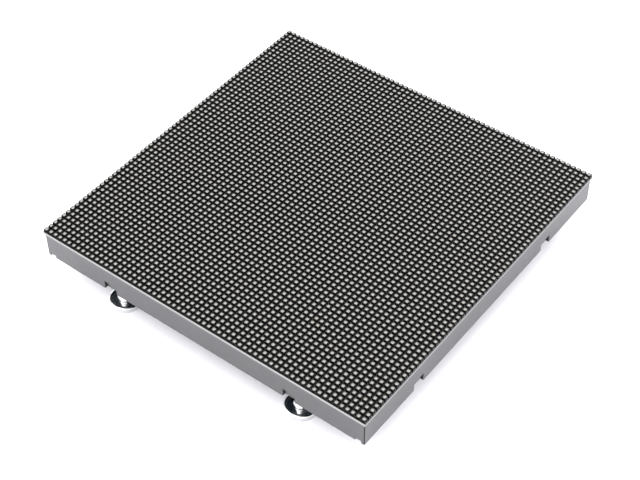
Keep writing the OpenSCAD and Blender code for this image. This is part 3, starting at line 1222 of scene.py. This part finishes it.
SOLDERED = {
    "data_in_housing": "header_black",
    "data_out_housing": "header_black",
    "data_in_pins": "gold_flash",
    "data_out_pins": "gold_flash",
    "power_header_housing": "header_white",
    "power_header_pins": "tin",
    "driver_chips": "chip_black",
    "row_switch_chips": "chip_black",
    "buffer_chips": "chip_black",
    "chip_capacitors": "ceramic_tan",
    "chip_resistors": "resistor_black",
    "resistor_packs": "resistor_black",
    "can_capacitors": "can_aluminium",
}


@dataclass
class BoardBack:
    """What is soldered to, and printed on, the back of the board."""

    finishes: Finishes
    copier: CopiesAtPoints
    print_t: float = 0.02
    print_w: float = 0.18
    print_gap: float = 0.45
    via_pitch: float = 6.0
    via_margin: float = 6.5
    via_r: float = 0.35
    via_t: float = 0.03
    via_sides: int = 8
    via_gap: float = 1.5
    via_play: float = 0.3
    via_share: float = 0.8
    mark_share: float = 0.84
    mark_reach: int = 60
    mark_step: int = 15
    mark_t: float = 0.01
    lead_space: float = 1.1
    seed: int = 11
    chips: tuple[ChipLeads, ...] = (
        ChipLeads("driver_chips", 12, 0.65),
        ChipLeads("row_switch_chips", 8, 1.15, width=0.4),
        ChipLeads("buffer_chips", 10, 1.2, width=0.42),
    )

    def build(self) -> list[bpy.types.Object]:
        """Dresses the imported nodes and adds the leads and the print.

        Returns:
            The pieces.
        """
        self.finishes.dress({"circuit_board": "board_laminate", **SOLDERED})
        made = [self.leads(kind) for kind in self.chips]
        return [*made, self.outlines(), self.vias(), self.polarity_marks()]

    def plate(self, name: str, outline: Sequence[tuple[float, float]], thickness: float) -> bpy.types.Object:
        """Makes a thin closed plate that hangs under height 0.

        Args:
            name: the object's name.
            outline: its corners in millimetres.
            thickness: its thickness in millimetres.

        Returns:
            The plate.
        """
        count = len(outline)
        points = [(x, y, z) for z in (-thickness, 0.0) for x, y in outline]
        faces = [list(range(count)), list(range(count, 2 * count)), *band(0, count, count)]
        return closed_object(name, points, faces)

    def vias(self) -> bpy.types.Object:
        """Makes the plated through-holes between the parts on the back.

        Returns:
            The through-holes, as one piece.
        """
        low, high = (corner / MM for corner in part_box("circuit_board"))
        taken = []
        for name, node in self.finishes.nodes.items():
            if name in SOLDERED or name == "board_nuts":
                taken += solid_boxes(node)
        chance = random.Random(self.seed)
        places = []
        gap, play = self.via_gap, self.via_play
        steps = int((high.x - low.x - 2 * self.via_margin) / self.via_pitch)
        for i in range(steps + 1):
            for j in range(steps + 1):
                x = low.x + self.via_margin + (i + chance.uniform(-play, play)) * self.via_pitch
                y = low.y + self.via_margin + j * self.via_pitch
                free = all(
                    not (a.x - gap < x < b.x + gap and a.y - gap < y < b.y + gap) for a, b in taken
                )
                if free and chance.random() < self.via_share:
                    places.append(((x, y, low.z), 0.0))
        angles = [k * 2 * math.pi / self.via_sides for k in range(self.via_sides)]
        ring = [(self.via_r * math.cos(a), self.via_r * math.sin(a)) for a in angles]
        shape = self.plate("via", ring, self.via_t)
        piece = self.copier.make("board_vias", shape, places, self.finishes["tin"])
        return piece

    def polarity_marks(self) -> bpy.types.Object:
        """Makes the dark segment printed on the end of each can.

        Returns:
            The marks, as one piece.
        """
        cans = solid_boxes(self.finishes.nodes["can_capacitors"])
        places = [((*((low + high) / 2).xy, low.z), 0.0) for low, high in cans]
        radius = (cans[0][1].x - cans[0][0].x) / 2 * self.mark_share
        arc = [math.radians(a) for a in range(-self.mark_reach, self.mark_reach + 1, self.mark_step)]
        outline = [(radius * math.sin(a), -radius * math.cos(a)) for a in arc]
        shape = self.plate("mark", outline, self.mark_t)
        piece = self.copier.make("can_marks", shape, places, self.finishes["mark_black"])
        return piece

    def leads(self, kind: ChipLeads) -> bpy.types.Object:
        """Makes every lead of one kind of chip.

        Args:
            kind: the kind of chip.

        Returns:
            The leads, as one piece.
        """
        chips = solid_boxes(self.finishes.nodes[kind.node])
        shape = kind.shape(chips[0][1].z - chips[0][0].z)
        places = []
        for low, high in chips:
            centre = (low + high) / 2
            for i in range(kind.leads_a_side):
                x = centre.x + (i - (kind.leads_a_side - 1) / 2) * kind.pitch
                places.append(((x, high.y, high.z), 0.0))
                places.append(((x, low.y, high.z), math.pi))
        name = kind.node.replace("chips", "leads")
        piece = self.copier.make(name, shape, places, self.finishes["tin"])
        return piece

    def outlines(self) -> bpy.types.Object:
        """Makes the printed outline round each chip and header, with no lettering.

        Returns:
            The outlines, as one piece.
        """
        points: list[Point] = []
        faces: list[list[int]] = []
        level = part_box("circuit_board")[0].z / MM
        nodes = [kind.node for kind in self.chips] + ["can_capacitors", "power_header_housing"]
        for node in nodes:
            grow = self.print_gap + (self.lead_space if node.endswith("chips") else 0.0)
            for low, high in solid_boxes(self.finishes.nodes[node]):
                inner = (low.x - self.print_gap, low.y - grow, high.x + self.print_gap, high.y + grow)
                self.frame(points, faces, inner, level)
        piece = closed_object("board_print", points, faces)
        dress(piece, self.finishes["print_white"])
        return piece

    def frame(
        self,
        points: list[Point],
        faces: list[list[int]],
        inner: tuple[float, float, float, float],
        level: float,
    ) -> None:
        """Adds one thin printed frame: two rings of four points at its inner edge, two at its outer one.

        Args:
            points: the points so far, added to.
            faces: the faces so far, added to.
            inner: the frame's inner edge, as low x, low y, high x, high y.
            level: the height of the board's lower face.
        """
        x0, y0, x1, y1 = inner
        start = len(points)
        for grow in (0.0, self.print_w):
            for z in (level, level - self.print_t):
                low, high = (x0 - grow, y0 - grow), (x1 + grow, y1 + grow)
                points += [(*low, z), (high[0], low[1], z), (*high, z), (low[0], high[1], z)]
        for first, second in ((0, 8), (4, 12), (0, 4), (8, 12)):
            faces += band(start + first, start + second, 4)


@dataclass
class Screw:
    """A pan-head screw with a cross recess, its head down and its seat at height 0."""

    head_d: float
    head_h: float = 1.9
    shank_d: float = 3.0
    length: float = 4.0
    rim: float = 0.35
    wing_l: float = 2.9
    wing_w: float = 0.62
    recess_h: float = 1.15
    taper: float = 0.55
    narrowing: float = 0.3
    dome: float = 0.95
    tip: float = 0.3
    over: float = 0.2
    crown_angles: tuple[float, ...] = (72, 54, 36, 18, 0)
    sides: int = 24

    def profile(self) -> list[tuple[float, float]]:
        """Works out the screw's turned shape.

        Returns:
            The radius and height of each ring, from the head's crown to the shank's tip.
        """
        crown = self.head_h - self.rim
        radius = self.head_d / 2
        rings = []
        for a in map(math.radians, self.crown_angles):
            inset = self.head_h * self.dome * (1 - math.cos(a))
            rings.append((radius - inset, -self.rim - crown * math.sin(a)))
        shank, tip, end = self.shank_d / 2, self.tip, self.length
        return [*rings, (radius, 0.0), (shank, 0.0), (shank, end - tip), (shank - tip, end)]

    def shape(self) -> bpy.types.Object:
        """Makes the screw.

        Returns:
            The screw, as one closed mesh.
        """
        points: list[Point] = [(0.0, 0.0, -self.head_h)]
        faces: list[list[int]] = []
        rings = self.profile()
        for radius, z in rings:
            for k in range(self.sides):
                a = 2 * math.pi * k / self.sides
                points.append((radius * math.cos(a), radius * math.sin(a), z))
        starts = [1 + ring * self.sides for ring in range(len(rings))]
        faces += [[0, 1 + (k + 1) % self.sides, 1 + k] for k in range(self.sides)]
        for low, high in zip(starts, starts[1:]):
            faces += band(low, high, self.sides)
        faces.append([starts[-1] + k for k in range(self.sides)])
        piece = closed_object("screw", points, faces)
        for turned in (False, True):
            self.cut(piece, self.wing(turned))
        return piece

    def wing(self, turned: bool) -> bpy.types.Object:
        """Makes one bar of the cross that is cut into the head.

        Args:
            turned: whether the bar lies along Y.

        Returns:
            The bar.
        """
        points: list[Point] = []
        for z, share in ((-self.head_h - self.over, 1.0), (-self.head_h + self.recess_h, self.taper)):
            long = self.wing_l / 2 * share
            short = self.wing_w / 2 * (1 - self.narrowing * (1 - share))
            for sx, sy in ((1, 1), (-1, 1), (-1, -1), (1, -1)):
                x, y = sx * long, sy * short
                points.append((y, x, z) if turned else (x, y, z))
        return closed_object("wing", points, [[3, 2, 1, 0], [4, 5, 6, 7], *band(0, 4, 4)])

    def cut(self, piece: bpy.types.Object, tool: bpy.types.Object) -> None:
        """Cuts one closed shape out of another and keeps the result as a plain mesh.

        Args:
            piece: the object that is cut.
            tool: what is cut out of it, deleted afterwards.
        """
        modifier = piece.modifiers.new("cut", "BOOLEAN")
        modifier.operation, modifier.solver, modifier.object = "DIFFERENCE", "EXACT", tool
        old, piece.data = piece.data, evaluated(piece)
        bpy.data.meshes.remove(old)
        remove(tool)


@dataclass
class BackShell:
    """The moulded shell and the screws that hold it."""

    finishes: Finishes
    copier: CopiesAtPoints
    first_turn: float = math.radians(23)
    next_turn: float = math.radians(37)

    def build(self) -> list[bpy.types.Object]:
        """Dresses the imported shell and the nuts, and makes the screws."""
        self.finishes.dress({"back_shell": "shell_grey", "board_nuts": "tin"})
        return [self.screws()]

    def screws(self) -> bpy.types.Object:
        """Makes the screws with their cross recesses.

        Returns:
            The screws, as one piece.
        """
        packed = solid_boxes(self.finishes.nodes["shell_screws"])
        low, high = packed[0]
        screw = Screw(high.x - low.x, length=high.z - low.z - Screw.head_h)
        places = []
        for index, (low, high) in enumerate(packed):
            centre = (low + high) / 2
            turn = self.first_turn + index * self.next_turn
            places.append(((centre.x, centre.y, low.z + screw.head_h), turn))
        piece = self.copier.make("shell_screws", screw.shape(), places, self.finishes["zinc_plate"])
        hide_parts("shell_screws")
        return piece


@dataclass
class MagneticFeet:
    """The four magnetic feet."""

    finishes: Finishes

    def build(self) -> list[bpy.types.Object]:
        """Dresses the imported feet.

        Returns:
            The pieces, of which the feet add none.
        """
        for foot in Foot:
            self.finishes.dress(
                {
                    f"magnet_cup_{foot.value}": "bright_nickel",
                    f"foot_post_{foot.value}": "bright_nickel",
                    f"magnet_{foot.value}": "magnet_nickel",
                    f"threaded_insert_{foot.value}": "brass",
                }
            )
        return []


# ---- Studio ----


@dataclass
class Studio:
    """A pale floor, soft light and the camera."""

    lens: float = 85.258
    sensor: float = 36.0
    eye: Point = (320.829, -416.500, 552.383)
    azimuth: float = 37.7471
    elevation: float = 46.1932
    roll: float = -0.6149
    clip: tuple[float, float] = (0.01, 50.0)
    floor_half: float = 4000.0
    sky: float = 2.42
    boxes: tuple[tuple[str, Point, float, float], ...] = (
        ("left_box", (-250, -800, 1000), 500, 2.4),
        ("right_box", (300, 200, 1250), 300, 0.5),
        ("rear_box", (-250, 650, 650), 400, 2.0),
    )

    def build(self) -> None:
        """Sets up the floor, the lights and the camera."""
        self.floor()
        self.lights()
        self.camera()

    def floor(self) -> None:
        """Lays the floor that the feet stand on."""
        h = self.floor_half
        piece = mesh_object("floor", [(-h, -h, 0), (h, -h, 0), (h, h, 0), (-h, h, 0)], [[0, 1, 2, 3]])
        shader = Shader("studio_floor")
        shader.set(Base_Color=(0.90, 0.888, 0.93), Roughness=0.6, Specular_IOR_Level=0.2)
        dress(piece, shader.material)

    def lights(self) -> None:
        """Lights the scene evenly, with a little more from above, from the left and from behind."""
        world = bpy.data.worlds.new("studio")
        bpy.context.scene.world = world
        world.use_nodes = True
        background = world.node_tree.nodes["Background"]
        background.inputs["Color"].default_value = rgba((1, 1, 1))
        background.inputs["Strength"].default_value = self.sky
        for name, place, size, power in self.boxes:
            self.area(name, place, size, power)

    def area(self, name: str, place: Point, size: float, power: float) -> None:
        """Adds one square light that faces the module.

        Args:
            name: the light's name.
            place: its place in millimetres.
            size: its side in millimetres.
            power: its power in watts.
        """
        data = bpy.data.lights.new(name, "AREA")
        data.size = size * MM
        data.energy = power
        lamp = bpy.data.objects.new(name, data)
        lamp.location = Vector(place) * MM
        lamp.rotation_mode = "QUATERNION"
        lamp.rotation_quaternion = (-Vector(place)).to_track_quat("-Z", "Y")
        bpy.context.scene.collection.objects.link(lamp)

    def camera(self) -> None:
        """Places the camera."""
        data = bpy.data.cameras.new("camera")
        data.lens = self.lens
        data.sensor_width = self.sensor
        data.clip_start, data.clip_end = self.clip
        camera = bpy.data.objects.new("camera", data)
        a, e = math.radians(self.azimuth), math.radians(self.elevation)
        look = Vector((-math.sin(a) * math.cos(e), math.cos(a) * math.cos(e), -math.sin(e)))
        right = look.cross(Vector((0, 0, 1))).normalized()
        up = right.cross(look)
        turn = Matrix((right, up, -look)).transposed() @ Matrix.Rotation(math.radians(self.roll), 3, "Z")
        camera.matrix_world = Matrix.Translation(Vector(self.eye) * MM) @ turn.to_4x4()
        bpy.context.scene.collection.objects.link(camera)
        bpy.context.scene.camera = camera
        bpy.context.scene.view_settings.view_transform = "Standard"


def report(pieces: Sequence[bpy.types.Object]) -> None:
    """Makes every new piece ride on the module and logs it.

    Args:
        pieces: the pieces of one sub-assembly.
    """
    for piece in pieces:
        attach(piece, BODY)
        piece.data.calc_loop_triangles()
        LOG.info("%s: %d triangles", piece.name, len(piece.data.loop_triangles))


def main() -> None:
    """Builds the module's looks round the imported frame."""
    logging.basicConfig(level=logging.INFO, format="%(name)s %(message)s")
    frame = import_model()
    Studio().build()
    low, high = (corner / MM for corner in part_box("circuit_board"))
    first, last = (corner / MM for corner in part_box("lamp_rows"))
    pitch = (last.x - first.x - Lamp().side) / (LAMPS_A_SIDE - 1)
    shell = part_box("back_shell")[1].x / MM
    finishes = Finishes(frame["nodes"], pitch, low.z, high.z, last.z, shell)
    copier = CopiesAtPoints()
    for assembly in (
        LampMatrix(finishes),
        BackShell(finishes, copier),
        MagneticFeet(finishes),
        BoardBack(finishes, copier),
    ):
        report(assembly.build())


if __name__ == "__main__":
    main()
